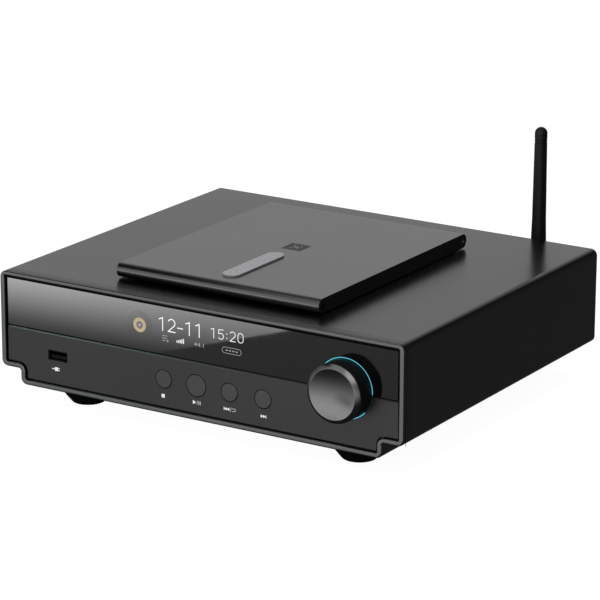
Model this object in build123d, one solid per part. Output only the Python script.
"""CD player with a hinged disc lid, front controls and a swivelling stub aerial.

The frame has X across the housing, Y from the front to the back and Z up, with z = 0 on the surface that
the feet stand on, and X and Y centred on the whole object. All sizes are in millimetres.
"""

from build123d import *
from math import asin, atan, cos, pi, radians, sin, sqrt, tan
import os

# Housing
width = 270.0                 # across the sides
depth = 225.0                 # front frame to the back edge of the cover
height = 66.6                 # without the feet
wall = 3.0                    # cover and tray
corner_radius = 4.0
notch_width = 13.5            # step along both lower long edges
notch_height = 9.2
notch_radius = 1.6
fit_gap = 0.2                 # between housing pieces that drop into each other

# Front frame and what it holds
frame_depth = 8.0
frame_side = 3.3
frame_roof = 2.8
frame_low = 3.1
frame_round = 1.0
lip_side = 8.0
lip_low = 4.0
panel_recess = 1.4
panel_thick = 2.5
panel_gap = 0.9
split_height = 34.3           # seam of the two front panels above the housing's underside
split_gap = 0.3
split_bevel = 1.0             # along the lower panel's upper edge
glass_bevel = 0.4
display_left = -62.0
display_right = 45.0
display_low = 36.0
display_high = 58.0
display_thick = 4.0
board_recess = 12.0
board_thick = 1.6

# Buttons
button_height = 20.1
button_pitch = 22.1
stop_x = -21.85
button_radius = 5.3
play_radius = 6.4
button_gap = 0.35
button_proud = 0.2
button_travel = 0.8
button_flange = 0.7

# Knob and its encoder
knob_x = 97.2
knob_height = 35.85
knob_radius = 16.8
knob_face_radius = 14.5
knob_reach = 12.0             # ahead of the front frame
knob_chamfer = 1.9
knob_dish = 1.5
knob_cap_thick = 3.0
knob_wall = 2.5
knob_travel = 0.6
knob_clear = 0.4              # left to the panel when pressed
shaft_radius = 3.0
shaft_clear = 0.05
encoder_size = 14.0
encoder_bush = 4.5
ring_radius = 17.6
ring_width = 1.0
ring_front = 1.6
ring_flange = 1.6

# USB socket
usb_x = -95.45
usb_height = 20.9
usb_wide = 13.6
usb_tall = 6.1
usb_long = 15.0
usb_shell = 0.5

# Lid
lid_width = 135.5
lid_depth = 165.3
lid_thick = 8.5
lid_setback = 21.7            # front plane to the lid's front edge
lid_gap = 0.55
lid_open = 75.0
pocket_side = 4.0
pocket_front = 8.0
pocket_rear = 12.0
pocket_deep = 4.2
window_width = 11.0
window_front = 11.3           # lid's front edge to the window
window_long = 55.5
window_proud = 1.0
window_rim = 0.5
bumper_radius = 3.0
bumper_inset = 14.0

# Hinges
hinge_x = 58.0
pin_radius = 1.25
pin_clear = 0.06
pin_press = 0.02
ear_head = 2.5
ear_neck = 3.0
ear_width = 5.0
ear_gap = 0.35
ear_foot = 3.0
ear_foot_long = 9.0
ear_foot_wide = 24.0
bracket_screw_side = 8.0

# Clamp
cage_radius = 19.0
cage_bore = 17.0
cage_lip = 14.4
cage_long = 6.6
cage_floor = 1.4
puck_radius = 13.8
puck_flange = 16.5
puck_recess = 8.6
magnet_radius = 8.0
magnet_thick = 1.6

# Disc well and drive
well_radius = 63.5
well_deep = 14.6
well_wall = 2.0
well_flange = 8.0
scoop_wide = 40.0
scoop_long = 142.0
scoop_radius = 8.0
disc_below = 10.6             # disc seat below the housing's roof
spigot_radius = 7.45
spigot_tall = 2.2
seat_radius = 14.5
seat_thick = 2.5
stem_radius = 4.0
spindle_radius = 1.0
spindle_clear = 0.05
motor_radius = 13.0
motor_tall = 7.0
deck_below = 8.0
deck_thick = 2.0
damper_radius = 5.0
damper_tall = 4.0
rod_radius = 1.5
rod_clear = 0.05
rod_spread = 14.0
rod_above_deck = 4.0
sled_start = 24.0             # lens to disc centre at rest
sled_travel = 34.0
sled_long = 26.0
sled_wide = 36.0
sled_tall = 6.0
lens_radius = 3.6

# Sled gear and rack
gear_module = 0.8
gear_teeth = 16
gear_angle = 20.0
gear_addendum = 0.7
gear_dedendum = 1.0
gear_backlash = 0.1
gear_thick = 3.0
rack_long = 42.0
rack_back = 2.4

# Feet
foot_height = 12.0
foot_base = 9.5
foot_top = 19.0
foot_x = 92.0
foot_inset = 26.0
foot_round = 2.0

# Aerial
aerial_x = 89.5
aerial_height = 40.0
aerial_tip = 132.5            # above the housing's underside
aerial_behind = 12.0          # tilt axis behind the back edge
aerial_tip_radius = 3.8
aerial_root_radius = 5.0
aerial_stub = 3.2
groove_places = (9.6, 7.8)    # below the tip
knuckle_radius = 4.4
knuckle_tongue = 2.1
knuckle_pin = 1.2

# Rear panel and sockets
rear_thick = 2.0
rear_inset = 2.0
inlet_x = -88.0
inlet_height = 33.0
inlet_wide = 50.0
inlet_tall = 28.0
rocker_x = -72.0
rocker_throw = 20.0
rocker_long = 16.0
rocker_wide = 10.0
balanced_x = 40.0
coax_x = -12.0
optical_x = 12.0
socket_height = 34.0
coax_radius = 4.15
coax_long = 8.0

rocker_space = 0.3
inlet_flange = 2.0
inlet_lip = 1.7               # flange beyond the moulding behind it
inlet_deep = 22.0
socket_shift = -10.5          # mouth of the inlet beside the moulding's middle
mouth_wide = 24.0
mouth_tall = 16.0
mouth_deep = 14.5
blade_size = (2.0, 4.0)

# Boards and transformer
board_lift = 8.0
post_radius = 3.2
main_board_x = (-56.0, 114.0)
main_board_front = 38.0       # behind the cover's front edge
main_board_rear = 24.0        # ahead of the cover's back edge
main_post_inset = 6.0
supply_x = (-117.0, -59.0)
supply_start = 16.0           # behind the cover's front edge
supply_long = 65.0
supply_inset = (3.0, 5.0)
capacitor_radius = 6.5
capacitor_tall = 24.0
core_x = (-114.0, -62.0)
core_back = 38.0              # ahead of the cover's back edge
core_long = 50.0
core_tall = 34.0
core_yoke = 8.0
core_leg = 10.0
winding_reach = 6.0

# Fasteners
screw_radius = 1.5
screw_head = 3.0
screw_long = 8.0
thread_clear = 0.03
small_screw_radius = 1.0
small_screw_head = 1.9
small_screw_long = 6.0

# Places that follow from the sizes
front = -(depth + aerial_behind + aerial_root_radius - knob_reach) / 2
back = front + depth
base = foot_height
top = base + height
half = width / 2
ledge = base + notch_height
step_x = half - notch_width
split = base + split_height
panel_y = front + panel_recess
panel_back = panel_y + panel_thick
knob_back = panel_recess - knob_travel - knob_clear
cover_front = front + frame_depth
board_y = front + board_recess
rear_y = back - rear_inset
rear_inner = rear_y - rear_thick
rail_top = ledge + 2 * wall + 3.0
rail_x = (step_x + half - wall) / 2
knob_z = base + knob_height
lid_y = front + lid_setback
lid_under = top + lid_gap
lid_top = lid_under + lid_thick
lid_middle = lid_y + lid_depth / 2
hinge_y = lid_y + lid_depth - lid_thick / 2
hinge_z = lid_under + lid_thick / 2
ceiling = lid_under + pocket_deep
disc_y = lid_middle
disc_z = top - disc_below
well_floor = top - well_deep
deck_top = well_floor - well_wall - deck_below
rod_z = deck_top + rod_above_deck
gear_x = sled_start + sled_travel / 2
gear_pitch = gear_module * gear_teeth / 2
rack_y = disc_y - sled_wide / 2 - rack_back
gear_y = rack_y - gear_pitch
sled_low = deck_top + 1.0
gear_low = deck_top + 1.4
cage_low = lid_under - cage_long
aerial_y = back + aerial_behind
aerial_z = base + aerial_height
socket_z = base + socket_height
inlet_z = base + inlet_height


# Shapes

def block(x, y, z):
    """Box between the two ends given for each direction."""
    size = Box(x[1] - x[0], y[1] - y[0], z[1] - z[0])
    return Pos((x[0] + x[1]) / 2, (y[0] + y[1]) / 2, (z[0] + z[1]) / 2) * size


def round_x(y, z, ends, radius):
    return Pos((ends[0] + ends[1]) / 2, y, z) * Rot(0, 90, 0) * Cylinder(radius, ends[1] - ends[0])


def round_y(x, z, ends, radius):
    return Pos(x, (ends[0] + ends[1]) / 2, z) * Rot(90, 0, 0) * Cylinder(radius, ends[1] - ends[0])


def round_z(x, y, ends, radius):
    return Pos(x, y, (ends[0] + ends[1]) / 2) * Cylinder(radius, ends[1] - ends[0])


def along_x(face, ends):
    """Extrude a face drawn in (y, z)."""
    plane = Plane((ends[0], 0, 0), x_dir=(0, 1, 0), z_dir=(1, 0, 0))
    return extrude(plane * face, ends[1] - ends[0])


def along_y(face, ends):
    """Extrude a face drawn in (x, z)."""
    plane = Plane((0, ends[1], 0), x_dir=(1, 0, 0), z_dir=(0, -1, 0))
    return extrude(plane * face, ends[1] - ends[0])


def along_z(face, ends):
    """Extrude a face drawn in (x, y)."""
    return extrude(Plane.XY.offset(ends[0]) * face, ends[1] - ends[0])


def turned_y(points, x, z):
    """Turn an outline of (radius, y) points about the line along Y through x and z."""
    return Pos(x, 0, z) * revolve(make_face(Polyline(points, close=True)), Axis.Y)


def turned_z(points, x, y):
    """Turn an outline of (radius, z) points about the upright line through x and y."""
    return Pos(x, y, 0) * revolve(Plane.XZ * make_face(Polyline(points, close=True)), Axis.Z)


def outline(side=0.0, roof=0.0, low=0.0):
    """Section of the housing with its steps, moved inwards by the given amounts."""
    x = half - side
    step = step_x - side
    points = [(x, top - roof), (x, ledge + low), (step, ledge + low), (step, base + low)]
    points += [(-a, b) for a, b in reversed(points)]
    corner = max(corner_radius - side, 0.6)
    radii = [corner, corner, min(notch_radius + side, 0.6 * notch_height), corner]
    return make_face(FilletPolyline(*points, radius=radii + radii[::-1], close=True))


def well_shape(grow=0.0):
    """Plan of the disc well: a circle with a finger scoop at the front and at the back."""
    scoop = RectangleRounded(scoop_wide + 2 * grow, scoop_long + 2 * grow, scoop_radius + grow)
    return Pos(0, disc_y) * (Circle(well_radius + grow) + scoop)


def countersunk(radius, head, length):
    """Screw along +Z with the top of its head at z = 0 facing down."""
    slope = head - radius
    points = [(0, 0), (head, 0), (radius, slope), (radius, length), (0, length)]
    body = revolve(Plane.XZ * make_face(Polyline(points, close=True)), Axis.Z)
    return body - Cylinder(radius * 0.6, slope)


def sink(radius, head, length):
    """Hole that such a screw goes into."""
    slope = head - radius
    points = [(0, -1), (head, -1), (head, 0), (radius, slope), (radius, length), (0, length)]
    points = [(r + thread_clear if r else 0, z) for r, z in points]
    return revolve(Plane.XZ * make_face(Polyline(points, close=True)), Axis.Z)


def pan_screw(x, y, z, length):
    """Screw pointing up, with the underside of its head at z."""
    return round_z(x, y, (z - 1.8, z), screw_head - 0.2) + round_z(x, y, (z, z + length), screw_radius)


# Places of the fasteners

def ledge_screws():
    """Up through the tray's ledges into the cover's rails."""
    ends = (cover_front + 22, (front + back) / 2, back - 28)
    return [Pos(side * rail_x, y, ledge) for side in (-1, 1) for y in ends]


def frame_screws():
    """Through the front frame's lip into the rails' front ends."""
    z = ledge + 2 * wall + 0.5
    turn = Rot(-90, 0, 0)
    return [Pos(side * rail_x, panel_back, z) * turn for side in (-1, 1)]


def rear_screws():
    """Through the rear panel into the rails' back ends."""
    z = ledge + 2 * wall + 0.5
    turn = Rot(90, 0, 0)
    return [Pos(side * rail_x, rear_y, z) * turn for side in (-1, 1)]


def bracket_screws():
    y = hinge_y + ear_neck / 2 - ear_foot_long / 2
    shifts = (-bracket_screw_side, bracket_screw_side)
    return [(side * hinge_x + shift, y) for side in (-1, 1) for shift in shifts]


def flange_screws():
    reach = (well_radius + well_wall + screw_head) * sqrt(0.5)
    return [(sx * reach, disc_y + sy * reach) for sx in (-1, 1) for sy in (-1, 1)]


def lid_screw_places():
    """Up through the liner into the lid plate."""
    x = lid_width / 2 - pocket_side - 6
    ys = (lid_y + pocket_front + 22, lid_middle + 8, lid_y + lid_depth - pocket_rear - 6)
    return [Pos(side * x, y, lid_under) for side in (-1, 1) for y in ys]


def lid_end_screws():
    """Into the lid's flat ends, near the front edge."""
    y = lid_y + 4.4
    return [Pos(side * lid_width / 2, y, hinge_z) * Rot(0, -90 * side, 0) for side in (-1, 1)]


def damper_places():
    return [(sx * 47, disc_y + sy * 39) for sx in (-1, 1) for sy in (-1, 1)]


def board_posts():
    xs = (main_board_x[0] + main_post_inset, main_board_x[1] - main_post_inset)
    ys = (cover_front + main_board_front + main_post_inset, back - main_board_rear - main_post_inset)
    return [(x, y) for y in ys for x in xs]


def supply_posts():
    start = cover_front + supply_start
    xs = (supply_x[0] + supply_inset[0], supply_x[1] - supply_inset[1])
    ys = (start + supply_inset[1], start + supply_long - supply_inset[1])
    return [(x, y) for y in ys for x in xs]


def foot_places():
    ys = {"front": front + foot_inset, "rear": back - foot_inset}
    xs = {"left": -foot_x, "right": foot_x}
    return {f"{end}_{side}": (xs[side], ys[end]) for end in ys for side in xs}


def front_posts():
    return [(-105, base + 27), (-70, base + 16), (57, base + 16), (118, base + 22)]


# Housing

def top_cover():
    """Roof and sides in one piece, with the rails that the screws go into."""
    ends = (cover_front, back)
    cover = along_y(outline(), ends) - along_y(outline(wall, wall, wall), ends)
    inside = half - wall
    cover -= block((-inside, inside), ends, (base - 1, ledge + wall))
    for side in (-1, 1):
        rail = sorted((side * (step_x + 1), side * inside))
        cover += block(rail, (cover_front, rear_inner), (ledge + wall, rail_top))
        slot = (side * hinge_x - ear_width / 2 - ear_gap, side * hinge_x + ear_width / 2 + ear_gap)
        reach = ear_neck / 2 + ear_gap
        cover -= block(slot, (hinge_y - reach, hinge_y + reach), (top - wall - 1, top + 1))
    cover -= along_z(well_shape(), (top - wall - 1, top + 1))
    for x, y in bracket_screws() + flange_screws():
        cover -= round_z(x, y, (top - wall - 1, top - 0.8), screw_radius + thread_clear)
    hole = sink(screw_radius, screw_head, screw_long + 0.5)
    for place in ledge_screws() + frame_screws() + rear_screws():
        cover -= place * hole
    return cover


def base_tray():
    """Bottom plate, the steps along its long edges and the ledges under the cover's rails."""
    ends = (cover_front, back)
    tray = along_y(outline(), ends) - along_y(outline(wall, wall, wall), ends)
    inside = half - wall - fit_gap
    tray &= block((-inside, inside), ends, (base - 1, ledge + wall))
    for x, y in board_posts() + supply_posts():
        tray += round_z(x, y, (base + wall - 0.5, base + board_lift), post_radius)
        tray += round_z(x, y, (base + board_lift - 1, base + board_lift + board_thick + 0.8), 1.4)
    for x, y in foot_places().values():
        tray += round_z(x, y, (base + wall - 0.5, base + wall + 4), 4.0)
        tray -= round_z(x, y, (base - 1, base + wall + 3), screw_radius + thread_clear)
    hole = sink(screw_radius, screw_head, screw_long + 0.5)
    for place in ledge_screws():
        tray -= place * hole
    for row in range(8):
        y = back - 54 - row * 7
        tray -= block((-110, -64), (y, y + 2.6), (base - 1, base + wall + 1))
    return tray


def front_frame():
    """Bright ring round the front, with an inner lip that the panels lie against."""
    ends = (front, cover_front)
    ring = along_y(outline(), ends) - along_y(outline(frame_side, frame_roof, frame_low), ends)
    rim = [edge for edge in ring.edges() if abs(edge.center().Y - front) < 0.01]
    ring = fillet(rim, frame_round)
    lip = along_y(outline(frame_side - 0.2, frame_roof - 0.2, frame_low - 0.2), (panel_back, cover_front))
    lip -= along_y(outline(frame_side + lip_side, frame_roof + lip_low, frame_low + lip_low), ends)
    ring += lip
    for place in frame_screws():
        ring -= place * sink(screw_radius, screw_head, screw_long + 0.5)
    return ring


def front_opening():
    return along_y(outline(frame_side + panel_gap, frame_roof + panel_gap, frame_low + panel_gap),
                   (panel_y, panel_back))


def knob_hole():
    return round_y(knob_x, knob_z, (front, cover_front), ring_radius + fit_gap)


def button_places():
    """Place and radius of each button."""
    names = ("stop", "play", "previous", "next")
    radii = {"play": play_radius}
    return {name: (stop_x + i * button_pitch, radii.get(name, button_radius)) for i, name in enumerate(names)}


def front_panel():
    """Lower panel with the button holes, the USB opening and the posts of the front board."""
    panel = front_opening() & block((-half, half), (panel_y, panel_back), (base, split - split_gap / 2))
    rim = panel.edges().filter_by(Axis.X).group_by(Axis.Z)[-1].sort_by(Axis.Y)[0]
    panel = chamfer(rim, split_bevel)
    panel -= knob_hole()
    for x, radius in button_places().values():
        panel -= round_y(x, base + button_height, (front, cover_front), radius + button_gap)
    z = base + usb_height
    panel -= block((usb_x - usb_wide / 2, usb_x + usb_wide / 2), (front, cover_front),
                   (z - usb_tall / 2, z + usb_tall / 2))
    for x, z in front_posts():
        panel += round_y(x, z, (panel_back - 0.5, board_y), 2.5)
        panel += round_y(x, z, (board_y - 1, board_y + board_thick + 0.8), 1.2)
    return panel


def display_window():
    """Dark glass above the seam."""
    glass = front_opening() & block((-half, half), (panel_y, panel_back), (split + split_gap / 2, top))
    rim = [edge for edge in glass.edges() if abs(edge.center().Y - panel_y) < 0.01]
    return chamfer(rim, glass_bevel) - knob_hole()


def display_module():
    return block((display_left, display_right), (panel_back, panel_back + display_thick),
                 (base + display_low, base + display_high))


def rear_panel():
    """Back plate with the cut-outs of its sockets."""
    panel = along_y(outline(wall + fit_gap, wall + fit_gap, wall + fit_gap), (rear_inner, rear_y))
    cut = (rear_inner - 1, rear_y + 1)
    panel -= block((inlet_x - inlet_wide / 2 + 1.5, inlet_x + inlet_wide / 2 - 1.5), cut,
                   (inlet_z - inlet_tall / 2 + 1.5, inlet_z + inlet_tall / 2 - 1.5))
    panel -= round_y(balanced_x, socket_z, cut, 12.0)
    panel -= round_y(coax_x, socket_z, cut, 4.5)
    panel -= block((optical_x - 5.2, optical_x + 5.2), cut, (socket_z - 5.2, socket_z + 5.2))
    panel -= round_y(aerial_x, aerial_z, cut, aerial_stub + fit_gap)
    bracket_end = hinge_y + ear_neck / 2 + ear_gap
    reach = ear_foot_wide / 2 + ear_gap
    for x in (-hinge_x, hinge_x):
        panel -= block((x - reach, x + reach), (bracket_end - ear_foot_long, bracket_end),
                       (top - wall - ear_foot - ear_gap, top))
    for place in rear_screws():
        panel -= place * sink(screw_radius, screw_head, screw_long + 0.5)
    return panel


def foot(x, y):
    """Cone with a rounded lower edge and a screw recess."""
    cone = turned_z([(0, 0), (foot_base, 0), (foot_top, base), (0, base)], x, y)
    lower = [edge for edge in cone.edges() if abs(edge.center().Z) < 0.01]
    cone = fillet(lower, foot_round)
    cone -= round_z(x, y, (-1, base * 0.4), screw_head + 0.6)
    return cone - round_z(x, y, (0, base + 1), screw_radius + thread_clear)


def foot_screws():
    screws = [pan_screw(x, y, base * 0.4, base * 0.6 + wall + 2.5) for x, y in foot_places().values()]
    return Compound(children=screws)


def case_screws():
    screw = countersunk(screw_radius, screw_head, screw_long)
    return Compound(children=[place * screw for place in ledge_screws() + frame_screws() + rear_screws()])


def chassis_screws():
    """Pan-head screws of the hinge brackets and the disc well, up into the roof."""
    screws = [pan_screw(x, y, top - wall - ear_foot, ear_foot + wall - 1) for x, y in bracket_screws()]
    screws += [pan_screw(x, y, top - wall - well_wall, well_wall + wall - 1) for x, y in flange_screws()]
    return Compound(children=screws)


# Lid

def ear_sweep(x):
    """Room that a hinge ear needs inside the lid from closed to fully open."""
    head = ear_head + ear_gap
    strip = ear_neck / 2 + ear_gap
    turn = radians(lid_open)
    run = (lid_thick - strip * cos(turn)) / sin(turn)
    points = [(-strip, 0), (-strip, -lid_thick), (lid_thick, -lid_thick)]
    points += [(lid_thick, strip * sin(turn) - run * cos(turn)), (strip * cos(turn), strip * sin(turn))]
    face = make_face(Polyline(points, close=True)) + Circle(head)
    reach = ear_width / 2 + ear_gap
    return along_x(Pos(hinge_y, hinge_z) * face, (x - reach, x + reach))


def lid_plate():
    """Flat slab with full-round front and rear edges, hollow underneath."""
    ends = (-lid_width / 2, lid_width / 2)
    plate = along_x(Pos(lid_middle, hinge_z) * SlotOverall(lid_depth, lid_thick), ends)
    side = lid_width / 2 - pocket_side
    plate -= block((-side, side), (lid_y + pocket_front, lid_y + lid_depth - pocket_rear),
                   (lid_under - 1, ceiling))
    slot = RectangleRounded(window_width - 2 * window_rim, window_long - 2 * window_rim,
                            window_width / 2 - window_rim - 0.01)
    plate -= along_z(Pos(0, lid_y + window_front + window_long / 2) * slot, (lid_under, lid_top + 1))
    for side in (-1, 1):
        plate -= ear_sweep(side * hinge_x)
        pin = sorted((side * (hinge_x - 5.5), side * (lid_width / 2 + 1)))
        plate -= round_x(hinge_y, hinge_z, pin, pin_radius + pin_press)
    hole = sink(small_screw_radius, small_screw_head, small_screw_long + 0.4)
    for place in lid_screw_places() + lid_end_screws():
        plate -= place * hole
    return plate


def lid_liner():
    """Moulded inner plate that fills the hollow and carries the clamp."""
    side = lid_width / 2 - pocket_side - fit_gap
    liner = block((-side, side), (lid_y + pocket_front + fit_gap, lid_y + lid_depth - pocket_rear - fit_gap),
                  (lid_under, ceiling))
    slot = RectangleRounded(window_width - 2 * window_rim, window_long - 2 * window_rim,
                            window_width / 2 - window_rim - 0.01)
    liner -= along_z(Pos(0, lid_y + window_front + window_long / 2) * slot, (lid_under - 1, ceiling + 1))
    for place in lid_screw_places():
        liner -= place * sink(small_screw_radius, small_screw_head, small_screw_long + 0.4)
    for x, y in bumper_places():
        liner -= round_z(x, y, (lid_under - 1, lid_under + 2.1), 1.5 + thread_clear)
    return liner


def lid_window():
    """Pale strip that shows the disc, standing a little proud of the lid."""
    y = lid_y + window_front + window_long / 2
    inner = window_width / 2 - window_rim - 0.05
    body = RectangleRounded(2 * inner, window_long - 2 * window_rim - 0.1, inner - 0.01)
    strip = along_z(Pos(0, y) * body, (lid_under + 0.2, lid_top + 0.1))
    rim = RectangleRounded(window_width, window_long, window_width / 2 - 0.01)
    head = along_z(Pos(0, y) * rim, (lid_top, lid_top + window_proud))
    return strip + fillet(head.edges().group_by(Axis.Z)[-1], 0.25)


def lid_screws():
    screw = countersunk(small_screw_radius, small_screw_head, small_screw_long)
    return Compound(children=[place * screw for place in lid_screw_places() + lid_end_screws()])


def bumper_places():
    x = lid_width / 2 - bumper_inset
    return [(-x, lid_y + bumper_inset), (x, lid_y + bumper_inset)]


def lid_bumpers():
    """Soft pads that the lid comes down on."""
    pads = []
    for x, y in bumper_places():
        pads.append(round_z(x, y, (top, lid_under), bumper_radius) + round_z(x, y, (top, lid_under + 2), 1.5))
    return Compound(children=pads)


def hinge_pins():
    """Steel pins pressed into the lid from its flat ends."""
    pins = []
    for side in (-1, 1):
        ends = sorted((side * (hinge_x - 5.2), side * (lid_width / 2 - 0.4)))
        pins.append(round_x(hinge_y, hinge_z, ends, pin_radius))
    return Compound(children=pins)


def hinge_bracket(side):
    """Ear that rises through the roof into the lid's round rear edge."""
    x = side * hinge_x
    foot_high = top - wall
    low = foot_high - ear_foot
    neck = Pos(0, (low - hinge_z) / 2) * Rectangle(ear_neck, hinge_z - low)
    profile = Pos(hinge_y, hinge_z) * (Circle(ear_head) + neck)
    ear = along_x(profile, (x - ear_width / 2, x + ear_width / 2))
    end = hinge_y + ear_neck / 2
    ear += block((x - ear_foot_wide / 2, x + ear_foot_wide / 2), (end - ear_foot_long, end), (low, foot_high))
    ear -= round_x(hinge_y, hinge_z, (x - ear_width, x + ear_width), pin_radius + pin_clear)
    for sx, sy in bracket_screws():
        ear -= round_z(sx, sy, (low - 1, foot_high + 1), screw_radius + thread_clear)
    return ear


def clamp_cage():
    """Cup under the liner that keeps the puck."""
    points = [(cage_lip, cage_low), (cage_radius, cage_low), (cage_radius, lid_under), (cage_bore, lid_under),
              (cage_bore, cage_low + cage_floor), (cage_lip, cage_low + cage_floor)]
    return turned_z(points, 0, disc_y)


def clamp_puck():
    """Floating puck that presses the disc onto the turntable."""
    low = disc_z + 1.7
    rest = cage_low + cage_floor + 0.3
    high = lid_under - 2.4
    seat = magnet_radius + 0.1
    points = [(puck_recess, low), (puck_radius, low), (puck_radius, rest), (puck_flange, rest),
              (puck_flange, high), (seat, high), (seat, high - magnet_thick), (0, high - magnet_thick),
              (0, low + 3.2), (puck_recess, low + 3.2)]
    return turned_z(points, 0, disc_y)


def clamp_magnet():
    high = lid_under - 2.4
    return round_z(0, disc_y, (high - magnet_thick, high), magnet_radius)


# Disc drive

def disc_well():
    """Recess for the disc, with the holes of the turntable and the lens in its floor."""
    under = well_floor - well_wall
    flange = along_z(well_shape(well_flange), (top - wall - well_wall, top - wall))
    well = flange + along_z(well_shape(well_wall), (under, top - wall))
    well -= along_z(well_shape(), (well_floor, top))
    well -= round_z(0, disc_y, (under - 1, well_floor + 1), seat_radius + 1.5)
    reach = lens_radius + 3.4
    well -= block((0, sled_start + sled_travel + reach), (disc_y - reach, disc_y + reach),
                  (under - 1, well_floor + 1))
    for x, y in flange_screws():
        well -= round_z(x, y, (top - wall - well_wall - 1, top), screw_radius + thread_clear)
    for x, y in damper_places():
        well += round_z(x, y, (deck_top + damper_tall, under + 0.5), 3.5)
        well -= round_z(x, y, (deck_top, under), screw_radius + thread_clear)
    return well


def deck_plate():
    """Steel plate that carries the drive."""
    low = deck_top - deck_thick
    plan = Pos(10, disc_y) * RectangleRounded(140, 92, 6)
    deck = along_z(plan, (low, deck_top))
    deck -= round_z(0, disc_y, (low - 1, deck_top + 1), stem_radius + 2)
    deck -= round_z(gear_x, gear_y, (low - 1, deck_top + 1), spindle_radius + 1)
    for x, y in damper_places():
        deck -= round_z(x, y, (low - 1, deck_top + 1), screw_radius + 0.4)
    for x in (sled_start - sled_long / 2 - 4, sled_start + sled_travel + sled_long / 2 + 4):
        for side in (-1, 1):
            y = disc_y + side * rod_spread
            deck += block((x - 2, x + 2), (y - 3.2, y + 3.2), (deck_top - 0.5, rod_z + 3))
            deck -= round_x(y, rod_z, (x - 3, x + 3), rod_radius + thread_clear)
    return deck


def deck_dampers():
    rings = []
    for x, y in damper_places():
        ring = round_z(x, y, (deck_top, deck_top + damper_tall), damper_radius)
        rings.append(ring - round_z(x, y, (deck_top - 1, deck_top + damper_tall + 1), screw_radius + 0.2))
    return Compound(children=rings)


def deck_screws():
    low = deck_top - deck_thick
    length = deck_thick + damper_tall + 3.5
    return Compound(children=[pan_screw(x, y, low, length) for x, y in damper_places()])


def spindle_motor():
    """Can under the deck with a bearing boss in the deck's hole."""
    low = deck_top - deck_thick
    motor = round_z(0, disc_y, (low - motor_tall, low), motor_radius)
    motor += round_z(0, disc_y, (low - 1, deck_top), stem_radius)
    return motor - round_z(0, disc_y, (low - motor_tall + 1, deck_top + 1), spindle_radius + spindle_clear)


def spindle_shaft():
    low = deck_top - deck_thick - motor_tall + 1.3
    return round_z(0, disc_y, (low, disc_z - 1), spindle_radius)


def turntable():
    """Seat for the disc, with the spigot that centres it."""
    low = deck_top + 1.0
    under = disc_z - seat_thick
    points = [(0, low), (stem_radius, low), (stem_radius, under), (seat_radius, under),
              (seat_radius, disc_z), (spigot_radius, disc_z), (spigot_radius, disc_z + spigot_tall),
              (spigot_radius - 1.2, disc_z + spigot_tall + 0.9), (0, disc_z + spigot_tall + 0.9)]
    bore = round_z(0, disc_y, (low - 1, disc_z - 1), spindle_radius + thread_clear)
    return turned_z(points, 0, disc_y) - bore


def guide_rods():
    ends = (sled_start - sled_long / 2 - 6, sled_start + sled_travel + sled_long / 2 + 6)
    rods = [round_x(disc_y + side * rod_spread, rod_z, ends, rod_radius) for side in (-1, 1)]
    return Compound(children=rods)


def rack_teeth():
    """Rack along X on the sled's front side, with a tooth space opposite the gear at rest."""
    pitch = pi * gear_module
    slope = tan(radians(gear_angle))
    count = int(rack_long / pitch)
    points = [(sled_start - rack_long / 2, rack_y + rack_back + 0.5)]
    points.append((sled_start - rack_long / 2, rack_y + gear_dedendum))
    first = gear_x - pitch * int((gear_x - sled_start + rack_long / 2) / pitch - 0.6)
    for i in range(count - 1):
        x = first + (i + 0.5) * pitch
        flank = pitch / 4 - gear_backlash
        root = flank + gear_dedendum * slope
        tip = flank - gear_addendum * slope
        points += [(x - root, rack_y + gear_dedendum), (x - tip, rack_y - gear_addendum)]
        points += [(x + tip, rack_y - gear_addendum), (x + root, rack_y + gear_dedendum)]
    points.append((sled_start + rack_long / 2, rack_y + gear_dedendum))
    points.append((sled_start + rack_long / 2, rack_y + rack_back + 0.5))
    return along_z(make_face(Polyline(points, close=True)), (sled_low + 0.5, sled_low + 4.0))


def laser_sled():
    """Carriage on the two rods, with its rack."""
    x = (sled_start - sled_long / 2, sled_start + sled_long / 2)
    y = (disc_y - sled_wide / 2, disc_y + sled_wide / 2)
    sled = block(x, y, (sled_low, sled_low + sled_tall)) + rack_teeth()
    for side in (-1, 1):
        rod = (x[0] - 1, x[1] + 1)
        sled -= round_x(disc_y + side * rod_spread, rod_z, rod, rod_radius + rod_clear)
    high = sled_low + sled_tall
    sled += round_z(sled_start, disc_y, (high - 0.5, high + 1.4), lens_radius + 1)
    return sled - round_z(sled_start, disc_y, (sled_low + 2, sled_low + sled_tall + 2), lens_radius)


def objective_lens():
    """Domed lens seated in the sled."""
    low = sled_low + sled_tall
    points = [(0, low - 0.6), (lens_radius, low - 0.6), (lens_radius, low + 0.6), (2.4, low + 1.1),
              (0, low + 1.5)]
    seat = round_z(sled_start, disc_y, (sled_low + 2, low - 0.5), lens_radius)
    return turned_z(points, sled_start, disc_y) + seat


def sled_motor():
    low = deck_top - deck_thick
    motor = round_z(gear_x, gear_y, (low - 9, low), 7.0)
    return motor - round_z(gear_x, gear_y, (low - 8, low + 1), spindle_radius + spindle_clear)


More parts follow.
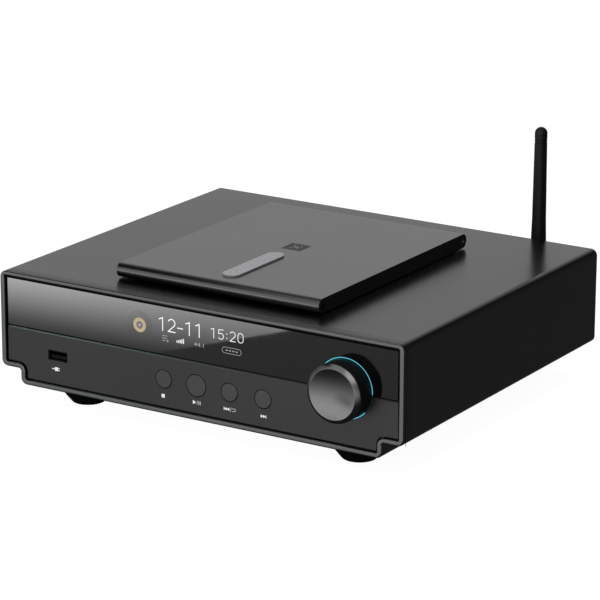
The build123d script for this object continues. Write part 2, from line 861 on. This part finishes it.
def feed_gear():
    """Involute gear on the sled motor's shaft, one tooth pointing at the rack."""
    base_radius = gear_pitch * cos(radians(gear_angle))
    tip_radius = gear_pitch + gear_addendum
    root_radius = gear_pitch - gear_dedendum

    def involute(radius):
        """Polar angle that the flank has gained at a radius."""
        roll = sqrt(max((radius / base_radius) ** 2 - 1, 0))
        return roll - atan(roll)

    half_tooth = (pi * gear_module / 2 - 2 * gear_backlash) / (2 * gear_pitch)
    at_pitch = involute(gear_pitch)
    radii = [base_radius + (tip_radius - base_radius) * i / 4 for i in range(5)]
    points = []
    for tooth in range(gear_teeth):
        middle = pi / 2 + 2 * pi * tooth / gear_teeth
        flank = [(root_radius, half_tooth + at_pitch)]
        flank += [(radius, half_tooth + at_pitch - involute(radius)) for radius in radii]
        points += [(r * cos(middle - a), r * sin(middle - a)) for r, a in flank]
        points += [(r * cos(middle + a), r * sin(middle + a)) for r, a in reversed(flank)]
    gear_high = gear_low + gear_thick
    face = Pos(gear_x, gear_y) * make_face(Polyline(points, close=True))
    gear = along_z(face, (gear_low, gear_high))
    shaft = round_z(gear_x, gear_y, (deck_top - deck_thick - 7.5, gear_high + 0.6), spindle_radius)
    return gear + shaft


# Controls

def front_board():
    """Board behind the front panels, with the switches of the buttons."""
    back_y = board_y + board_thick
    board = block((-121, 122), (board_y, back_y), (ledge + wall + 0.4, base + 50))
    for x, z in front_posts():
        board -= round_y(x, z, (board_y - 1, back_y + 1), 1.3)
    reach = usb_wide / 2 + 0.6
    board -= block((usb_x - reach, usb_x + reach), (board_y - 1, back_y + 1), (base, base + usb_height + 4))
    for x, _ in button_places().values():
        z = base + button_height
        stop = panel_back + button_flange + 2.2 + button_travel
        board += block((x - 3, x + 3), (stop + 0.8, board_y + 0.5), (z - 3, z + 3))
        board += round_y(x, z, (stop + 0.1, stop + 1.2), 1.7)
    for x in (-40, 10):
        board += block((x, x + 14), (back_y - 0.5, back_y + 4), (base + 34, base + 40))
    return board


def button(x, radius):
    """Round cap with a flange behind the panel."""
    z = base + button_height
    start = panel_y - button_proud
    cap = round_y(x, z, (start, panel_back + 0.6), radius)
    rim = [edge for edge in cap.edges() if abs(edge.center().Y - start) < 0.01]
    cap = fillet(rim, 0.3)
    cap += round_y(x, z, (panel_back + 0.1, panel_back + button_flange + 0.1), radius + 1)
    return cap + round_y(x, z, (panel_back, panel_back + button_flange + 2.2), 2.0)


def bowl(radius, edge, middle):
    """Arc from (radius, edge) to (0, middle) that crosses the turning axis squarely."""
    rise = middle - edge
    curve = (radius ** 2 + rise ** 2) / (2 * abs(rise))
    turn = asin(radius / curve) / 2
    drop = curve * (1 - cos(turn))
    halfway = (curve * sin(turn), middle - drop if rise > 0 else middle + drop)
    return ThreePointArc((radius, edge), halfway, (0, middle))


def knob_cap():
    """Turned face with a shallow dish and a broad chamfer."""
    face = front - knob_reach
    deep = face + knob_dish
    dish = bowl(knob_face_radius, face, deep)
    behind = face + knob_cap_thick
    rim = Polyline((knob_face_radius, face), (knob_radius, face + knob_chamfer), (knob_radius, behind),
                   (0, behind), (0, deep))
    return Pos(knob_x, 0, knob_z) * revolve(make_face(dish + rim), Axis.Y)


def knob_body():
    """Black barrel with the hub that grips the encoder's shaft."""
    start = front - knob_reach + knob_cap_thick
    end = front + knob_back
    inner = knob_radius - knob_wall
    points = [(0, start), (knob_radius, start), (knob_radius, end), (inner, end), (inner, start + 2.5),
              (shaft_radius + 2.5, start + 2.5), (shaft_radius + 2.5, end - 3.5), (0, end - 3.5)]
    bore = round_y(knob_x, knob_z, (start + 2, end), shaft_radius + thread_clear)
    return turned_y(points, knob_x, knob_z) - bore


def encoder_shaft():
    return round_y(knob_x, knob_z, (front - knob_reach + knob_cap_thick + 2.1, board_y - 1.8), shaft_radius)


def encoder_plunger():
    """Collar round the shaft that slides in the encoder when the knob is pressed."""
    ends = (board_y - 4.4, board_y - 2.4)
    collar = round_y(knob_x, knob_z, ends, 5.2)
    return collar - round_y(knob_x, knob_z, (ends[0] - 1, ends[1] + 1), shaft_radius + shaft_clear)


def encoder_body():
    size = encoder_size / 2
    body = block((knob_x - size, knob_x + size), (board_y - 6, board_y), (knob_z - size, knob_z + size))
    body += round_y(knob_x, knob_z, (front + knob_back + 0.3, board_y - 5), encoder_bush)
    body -= round_y(knob_x, knob_z, (front, board_y - 4), shaft_radius + shaft_clear)
    return body - round_y(knob_x, knob_z, (board_y - 4.8, board_y - 0.8), 5.5)


def light_ring():
    """Clear ring behind the knob, held by a flange behind the panels."""
    start = front + ring_front
    inner = ring_radius - ring_width
    points = [(inner, start), (ring_radius, start), (ring_radius, panel_back + 0.05),
              (ring_radius + ring_flange, panel_back + 0.05), (ring_radius + ring_flange, panel_back + 1.2),
              (ring_radius, panel_back + 1.2), (ring_radius, board_y), (inner, board_y)]
    return turned_y(points, knob_x, knob_z)


def usb_socket():
    """Metal shell with its contact tongue."""
    z = base + usb_height
    wide = usb_wide / 2 - 0.2
    tall = usb_tall / 2 - 0.2
    start = panel_y + 0.3
    end = start + usb_long
    shell = block((usb_x - wide, usb_x + wide), (start, end), (z - tall, z + tall))
    shell -= block((usb_x - wide + usb_shell, usb_x + wide - usb_shell), (start - 1, end - 1),
                   (z - tall + usb_shell, z + tall - usb_shell))
    return shell + block((usb_x - 5.5, usb_x + 5.5), (start + 1, end), (z - 1.8, z))


# Rear sockets

def mains_inlet():
    """Mains inlet and switch housing in one moulding."""
    x = (inlet_x - inlet_wide / 2, inlet_x + inlet_wide / 2)
    z = (inlet_z - inlet_tall / 2, inlet_z + inlet_tall / 2)
    inlet = block((x[0] + inlet_lip, x[1] - inlet_lip), (rear_y - inlet_deep, rear_y + 0.5),
                  (z[0] + inlet_lip, z[1] - inlet_lip))
    inlet += block(x, (rear_y, rear_y + inlet_flange), z)
    middle = inlet_x + socket_shift
    inlet -= block((middle - mouth_wide / 2, middle + mouth_wide / 2), (rear_y - mouth_deep, rear_y + 3),
                   (inlet_z - mouth_tall / 2, inlet_z + mouth_tall / 2))
    for shift, drop in ((-7, -1), (7, -1), (0, 3)):
        blade_x = middle + shift
        blade_z = inlet_z + drop
        inlet += block((blade_x - blade_size[0] / 2, blade_x + blade_size[0] / 2), (rear_y - 16, rear_y - 4),
                       (blade_z - blade_size[1] / 2, blade_z + blade_size[1] / 2))
    reach = rocker_long / 2 + 1
    side = rocker_wide / 2 + rocker_space
    inlet -= block((rocker_x - side, rocker_x + side), (rear_y - 5, rear_y + 3),
                   (inlet_z - reach, inlet_z + reach))
    trunnion = rocker_wide / 2 + 1.2
    return inlet - round_x(rocker_axis_y(), inlet_z, (rocker_x - trunnion, rocker_x + trunnion), 1.06)


def rocker_axis_y():
    return rear_y - 1.0


def mains_rocker():
    """Paddle with a shallow V, resting with its upper half pressed in."""
    wide = rocker_wide / 2
    long = rocker_long / 2
    points = [(-1.0, -long), (-1.0, long), (3.4, long), (2.0, 0), (3.4, -long)]
    paddle = along_x(Rot(0, 0, rocker_throw / 2) * make_face(Polyline(points, close=True)), (-wide, wide))
    paddle += round_x(0, 0, (-wide - 1, wide + 1), 1.0)
    return Pos(rocker_x, rocker_axis_y(), inlet_z) * paddle


def balanced_socket():
    """Round socket with three contact pins in a square flange."""
    socket = round_y(balanced_x, socket_z, (rear_y - 20, rear_y + 0.5), 11.8)
    socket += block((balanced_x - 13, balanced_x + 13), (rear_y, rear_y + 1.8), (socket_z - 15.5, socket_z + 15.5))
    socket -= round_y(balanced_x, socket_z, (rear_y - 14, rear_y + 3), 9.3)
    for turn in (0, 90, 180):
        x = balanced_x + 5 * cos(radians(turn))
        z = socket_z + 5 * sin(radians(turn))
        socket += round_y(x, z, (rear_y - 15, rear_y - 4), 1.2)
    return socket


def coax_socket():
    """Barrel socket with a hex flange."""
    start = rear_y + 2
    socket = round_y(coax_x, socket_z, (rear_y - 8, start), 4.3)
    socket += along_y(Pos(coax_x, socket_z) * RegularPolygon(6.2, 6), (rear_y, start))
    socket += round_y(coax_x, socket_z, (start - 1, start + coax_long), coax_radius)
    socket -= round_y(coax_x, socket_z, (start, start + coax_long + 1), 3.3)
    socket += round_y(coax_x, socket_z, (start - 1, start + coax_long - 1), 2.9)
    return socket - round_y(coax_x, socket_z, (start, start + coax_long), 1.7)


def optical_socket():
    socket = block((optical_x - 5, optical_x + 5), (rear_y - 12, rear_y + 0.5), (socket_z - 5, socket_z + 5))
    socket += block((optical_x - 7, optical_x + 7), (rear_y, rear_y + 1.5), (socket_z - 7, socket_z + 7))
    return socket - block((optical_x - 3.2, optical_x + 3.2), (rear_y - 8, rear_y + 2),
                          (socket_z - 3.2, socket_z + 3.2))


def aerial_connector():
    """Threaded stub with its nut."""
    stub = round_y(aerial_x, aerial_z, (rear_inner - 6, back + 5.4), aerial_stub)
    nut = along_y(Pos(aerial_x, aerial_z) * RegularPolygon(5.2, 6), (rear_y, rear_y + 2))
    head = along_y(Pos(aerial_x, aerial_z) * RegularPolygon(5.2, 6), (rear_inner - 3, rear_inner))
    return stub + nut + head


def aerial_knuckle():
    """Collar that turns on the stub, with the two ears of the tilt joint."""
    start = rear_y + 2.4
    collar = round_y(aerial_x, aerial_z, (start, back + 6.4), aerial_root_radius)
    collar -= round_y(aerial_x, aerial_z, (start - 1, back + 5.7), aerial_stub + 0.06)
    outer = knuckle_radius + 0.2
    for side in (-1, 1):
        x = sorted((aerial_x + side * (knuckle_tongue + 0.25), aerial_x + side * outer))
        ear = round_x(aerial_y, aerial_z, x, knuckle_radius)
        ear += block(x, (back + 6, aerial_y), (aerial_z - knuckle_radius, aerial_z + knuckle_radius))
        collar += ear
    return collar + round_x(aerial_y, aerial_z, (aerial_x - outer, aerial_x + outer), knuckle_pin)


def aerial_whip():
    """Tapered rod with a domed tip and two fine grooves, standing on its tongue."""
    tip = base + aerial_tip
    start = aerial_z + knuckle_radius + 0.8
    neck = start + (tip - start) * 0.35
    dome = aerial_tip_radius * 0.95
    waist = aerial_tip_radius + 0.45
    points = [(0, start), (aerial_root_radius, start), (aerial_root_radius, start + 3), (waist, neck)]
    for low in groove_places:
        z = tip - low
        points += [(aerial_tip_radius, z), (aerial_tip_radius - 0.3, z + 0.2), (aerial_tip_radius - 0.3, z + 0.6),
                   (aerial_tip_radius, z + 0.8)]
    side = Polyline(*points, (aerial_tip_radius, tip - dome))
    face = make_face(side + bowl(aerial_tip_radius, tip - dome, tip) + Line((0, tip), (0, start)))
    whip = Pos(aerial_x, aerial_y, 0) * revolve(Plane.XZ * face, Axis.Z)
    x = (aerial_x - knuckle_tongue, aerial_x + knuckle_tongue)
    whip += round_x(aerial_y, aerial_z, x, knuckle_radius - 0.4)
    reach = knuckle_radius - 0.4
    whip += block(x, (aerial_y - reach, aerial_y + reach), (aerial_z, start + 0.5))
    return whip - round_x(aerial_y, aerial_z, (x[0] - 1, x[1] + 1), knuckle_pin + 0.06)


# Boards inside

def main_board():
    """Board with the output stages and the decoder."""
    z = base + board_lift
    board = block(main_board_x, (cover_front + main_board_front, back - main_board_rear), (z, z + board_thick))
    for x, y in board_posts():
        board -= round_z(x, y, (z - 1, z + board_thick + 1), 1.5)
    y = cover_front + 60
    up = z + board_thick - 0.5
    board += block((10, 34), (y, y + 24), (up, up + 2.5))
    board += block((50, 64), (y + 4, y + 18), (up, up + 2))
    board += block((-40, -8), (back - 44, back - 34), (up, up + 8))
    for i in range(4):
        board += round_z(60 + i * 12, back - 50, (up, up + 13), 4)
    return board


def power_board():
    """Supply board with three capacitors and a cooling plate, ahead of the transformer."""
    z = base + board_lift
    start = cover_front + supply_start
    board = block(supply_x, (start, start + supply_long), (z, z + board_thick))
    for px, py in supply_posts():
        board -= round_z(px, py, (z - 1, z + board_thick + 1), 1.5)
    up = z + board_thick - 0.5
    for i in range(3):
        x = supply_x[0] + 13 + i * 16
        board += round_z(x, start + 17, (up, up + capacitor_tall), capacitor_radius)
    plate = (supply_x[0] + 11, supply_x[1] - 13)
    return board + block(plate, (start + 35, start + 41), (up, up + capacitor_tall - 2))


def transformer():
    """Laminated core with its winding."""
    z = base + wall
    y = (back - core_back - core_long, back - core_back)
    window = (core_x[0] + core_leg, core_x[1] - core_leg)
    core = block(core_x, y, (z, z + core_tall))
    core -= block(window, (y[0] - 1, y[1] + 1), (z + core_yoke, z + core_tall - core_yoke))
    winding = (window[0] - 0.5, window[1] + 0.5)
    height = (z + core_yoke - 0.5, z + core_tall - core_yoke + 0.5)
    return core + block(winding, (y[0] - winding_reach, y[1] + winding_reach), height)


nodes = {
    "top_cover": top_cover(),
    "base_tray": base_tray(),
    "front_frame": front_frame(),
    "front_panel": front_panel(),
    "display_window": display_window(),
    "display_module": display_module(),
    "rear_panel": rear_panel(),
    "foot_screws": foot_screws(),
    "case_screws": case_screws(),
    "chassis_screws": chassis_screws(),
    "lid_plate": lid_plate(),
    "lid_liner": lid_liner(),
    "lid_window": lid_window(),
    "lid_screws": lid_screws(),
    "lid_bumpers": lid_bumpers(),
    "hinge_pins": hinge_pins(),
    "hinge_bracket_left": hinge_bracket(-1),
    "hinge_bracket_right": hinge_bracket(1),
    "clamp_cage": clamp_cage(),
    "clamp_puck": clamp_puck(),
    "clamp_magnet": clamp_magnet(),
    "disc_well": disc_well(),
    "deck_plate": deck_plate(),
    "deck_dampers": deck_dampers(),
    "deck_screws": deck_screws(),
    "spindle_motor": spindle_motor(),
    "spindle_shaft": spindle_shaft(),
    "turntable": turntable(),
    "guide_rods": guide_rods(),
    "laser_sled": laser_sled(),
    "objective_lens": objective_lens(),
    "sled_motor": sled_motor(),
    "feed_gear": feed_gear(),
    "front_board": front_board(),
    "knob_body": knob_body(),
    "knob_cap": knob_cap(),
    "encoder_body": encoder_body(),
    "encoder_plunger": encoder_plunger(),
    "encoder_shaft": encoder_shaft(),
    "light_ring": light_ring(),
    "usb_socket": usb_socket(),
    "mains_inlet": mains_inlet(),
    "mains_rocker": mains_rocker(),
    "balanced_socket": balanced_socket(),
    "coax_socket": coax_socket(),
    "optical_socket": optical_socket(),
    "aerial_connector": aerial_connector(),
    "aerial_knuckle": aerial_knuckle(),
    "aerial_whip": aerial_whip(),
    "main_board": main_board(),
    "power_board": power_board(),
    "transformer": transformer(),
}
for name, (x, y) in foot_places().items():
    nodes[f"foot_{name}"] = foot(x, y)
for name, (x, radius) in button_places().items():
    nodes[f"{name}_button"] = button(x, radius)

os.makedirs("parts", exist_ok=True)
for name, shape in nodes.items():
    shape.label = name
    export_step(shape, f"parts/{name}.step")
print(len(nodes), "nodes written")
